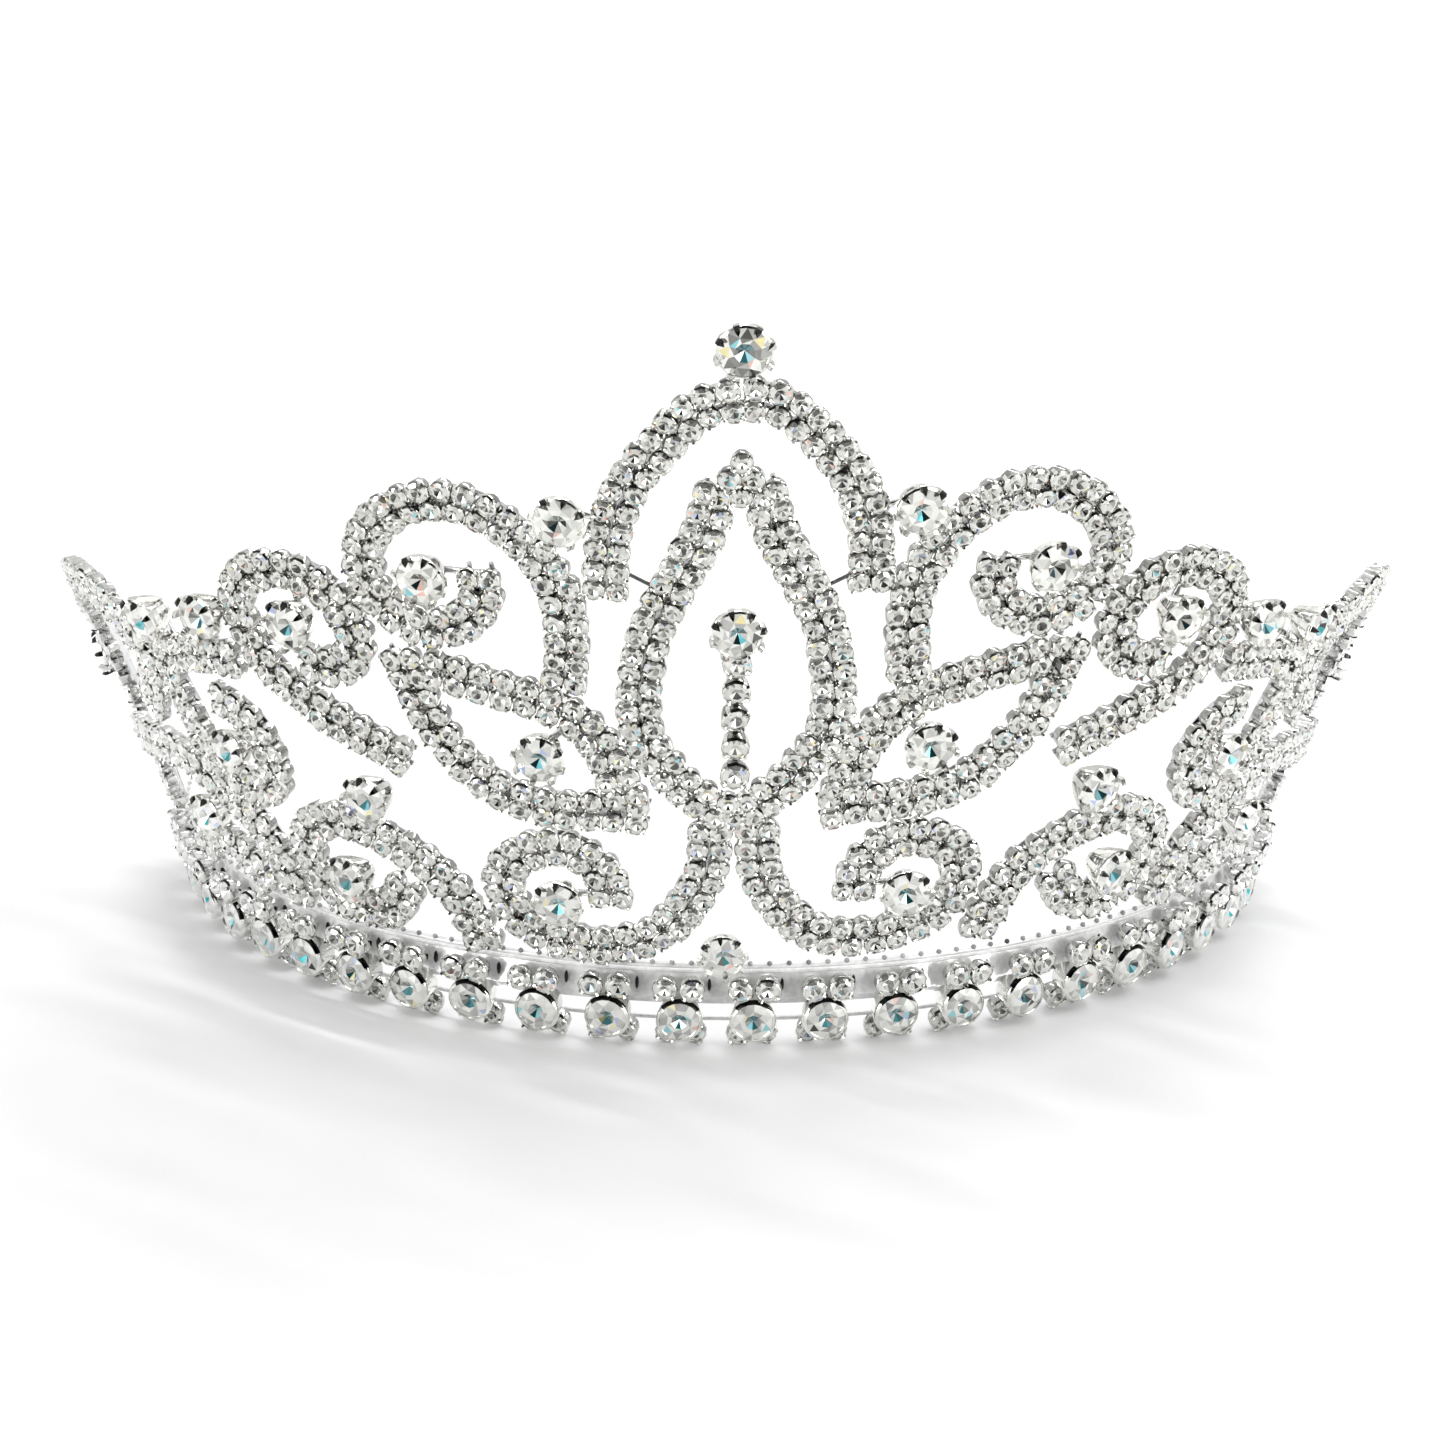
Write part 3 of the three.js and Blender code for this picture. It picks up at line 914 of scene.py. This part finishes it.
def add_world():
    """White all round, with a dark room beyond the camera's side, which gives the metal its black lines."""
    world = bpy.data.worlds.new("studio")
    bpy.context.scene.world = world
    world.use_nodes = True
    nodes = world.node_tree.nodes
    links = world.node_tree.links
    nodes.clear()
    place = nodes.new("ShaderNodeTexCoord")
    aim = nodes.new("ShaderNodeVectorMath")
    aim.operation = "DOT_PRODUCT"
    dark_way = Vector((0, -1, 0.3)).normalized()
    aim.inputs[1].default_value = dark_way
    links.new(place.outputs["Generated"], aim.inputs[0])
    ramp = nodes.new("ShaderNodeValToRGB")
    ramp.color_ramp.elements[0].position = 0.86
    ramp.color_ramp.elements[0].color = (1, 1, 1, 1)
    ramp.color_ramp.elements[1].position = 0.93
    ramp.color_ramp.elements[1].color = (0.01, 0.01, 0.012, 1)
    links.new(aim.outputs["Value"], ramp.inputs["Fac"])
    patches = nodes.new("ShaderNodeTexNoise")
    patches.inputs["Scale"].default_value = 3.0
    links.new(place.outputs["Generated"], patches.inputs["Vector"])
    panels = nodes.new("ShaderNodeValToRGB")
    panels.color_ramp.elements[0].position = 0.42
    panels.color_ramp.elements[0].color = (0.4, 0.4, 0.39, 1)
    panels.color_ramp.elements[1].position = 0.52
    panels.color_ramp.elements[1].color = (1, 1, 1, 1)
    links.new(patches.outputs["Fac"], panels.inputs["Fac"])
    room = nodes.new("ShaderNodeMix")
    room.data_type = "RGBA"
    room.blend_type = "MULTIPLY"
    front = nodes.new("ShaderNodeMapRange")
    front.inputs["From Min"].default_value = -0.3
    front.inputs["From Max"].default_value = 0.7
    front.inputs["To Min"].default_value = 0.25
    links.new(aim.outputs["Value"], front.inputs["Value"])
    links.new(front.outputs["Result"], room.inputs["Factor"])
    links.new(ramp.outputs["Color"], room.inputs["A"])
    links.new(panels.outputs["Color"], room.inputs["B"])
    path = nodes.new("ShaderNodeLightPath")
    seen = nodes.new("ShaderNodeMix")
    seen.data_type = "RGBA"
    links.new(path.outputs["Is Camera Ray"], seen.inputs["Factor"])
    links.new(room.outputs["Result"], seen.inputs["A"])
    seen.inputs["B"].default_value = (1, 1, 1, 1)  # the camera sees the sky as plain white
    light = nodes.new("ShaderNodeBackground")
    links.new(seen.outputs["Result"], light.inputs["Color"])
    out = nodes.new("ShaderNodeOutputWorld")
    links.new(light.outputs["Background"], out.inputs["Surface"])


def area_light(name, place, target, width, height, power):
    """A rectangular lamp that shines on a target."""
    lamp = bpy.data.lights.new(name, "AREA")
    lamp.shape = "RECTANGLE"
    lamp.size = width
    lamp.size_y = height
    lamp.energy = power
    holder = bpy.data.objects.new(name, lamp)
    bpy.context.scene.collection.objects.link(holder)
    holder.location = place
    holder.rotation_euler = (Vector(target) - Vector(place)).to_track_quat("-Z", "Y").to_euler()


def soft_sun(name, place, strength, spread):
    """Light with soft edges that reaches all of the floor alike, spread over an angle in degrees."""
    lamp = bpy.data.lights.new(name, "SUN")
    lamp.energy = strength
    lamp.angle = math.radians(spread)
    holder = bpy.data.objects.new(name, lamp)
    bpy.context.scene.collection.objects.link(holder)
    holder.rotation_euler = (-Vector(place)).to_track_quat("-Z", "Y").to_euler()


def add_camera():
    """The camera stands 1 degree left of the front, looks down at the band and is rolled a little."""
    distance, height = 0.4925, 0.1643
    azimuth, pitch, roll = math.radians(1.0), math.radians(16.54), math.radians(0.55)
    along = Vector((math.sin(azimuth), math.cos(azimuth), 0))
    right = Vector((math.cos(azimuth), -math.sin(azimuth), 0))
    forward = along * math.cos(pitch) - Vector((0, 0, math.sin(pitch)))
    up = right.cross(forward)
    rolled_right = right * math.cos(roll) + up * math.sin(roll)
    rolled_up = up * math.cos(roll) - right * math.sin(roll)
    place = Vector((0, RING_Y * MM, height)) - along * distance
    data = bpy.data.cameras.new("camera")
    data.sensor_width = 36
    data.lens = 104.4
    data.clip_start = 0.01
    data.clip_end = 20
    camera = bpy.data.objects.new("camera", data)
    bpy.context.scene.collection.objects.link(camera)
    turn = Matrix((rolled_right, rolled_up, -forward)).transposed()
    camera.matrix_world = Matrix.Translation(place) @ turn.to_4x4()
    bpy.context.scene.camera = camera


add_floor()
add_world()
area_light("strip", (0.45, 0.6, 0.95), (0, 0.03, 0.03), 1.6, 0.06, 7)
soft_sun("left_fill", (-0.95, -0.75, 0.25), 1.3, 28)
soft_sun("right_fill", (0.95, -0.75, 0.25), 1.3, 28)
soft_sun("sky", (0.15, 0.1, 1), 0.3, 70)
add_camera()
bpy.context.scene.view_settings.view_transform = "Standard"
